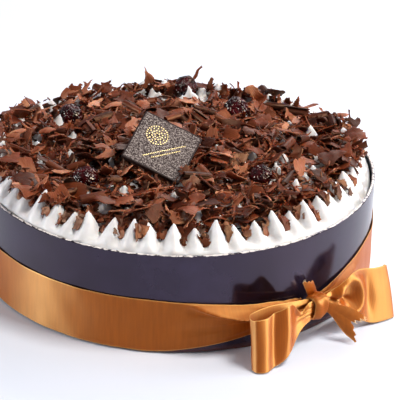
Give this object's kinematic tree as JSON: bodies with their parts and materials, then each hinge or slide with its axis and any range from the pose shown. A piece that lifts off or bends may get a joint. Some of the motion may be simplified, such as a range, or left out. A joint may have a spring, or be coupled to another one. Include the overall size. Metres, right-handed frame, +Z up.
{
  "type": "black forest cake",
  "caption": "Round black forest cake in a dark chocolate collar, with piped cream peaks, a heap of chocolate shavings, cherries, a square plaque and a ribbon bow.",
  "frame": {"origin": "centre of the cake's underside, on the table plane", "axes": "+Z up; the cake's front faces -Y; the bow is at the front right, towards +X and -Y"},
  "size_m": [0.286, 0.2992, 0.116],
  "materials": {
    "sponge": "dark cocoa sponge, matte and open",
    "dark_chocolate": "smooth glossy dark chocolate with a faint bloom",
    "cream": "soft whipped cream, satin sheen",
    "shavings": "broken milk chocolate shavings, waxy and dull",
    "cherry": "dark red cherry under a clear glaze",
    "plaque": "dark chocolate with a greyish print and gold dots",
    "satin": "gold satin ribbon, shiny on its face"
  },
  "bodies": {
    "root": {"sponge_drum": "sponge", "chocolate_collar": "dark_chocolate", "whipped_cream": "cream", "chocolate_shavings": "shavings", "cherry_1": "cherry", "cherry_2": "cherry", "cherry_3": "cherry", "cherry_4": "cherry", "cherry_5": "cherry", "chocolate_plaque": "plaque", "ribbon_band": "satin", "bow_loop_left": "satin", "bow_loop_right": "satin", "bow_knot": "satin", "bow_tail_up": "satin", "bow_tail_side": "satin"}
  },
  "joints": []
}
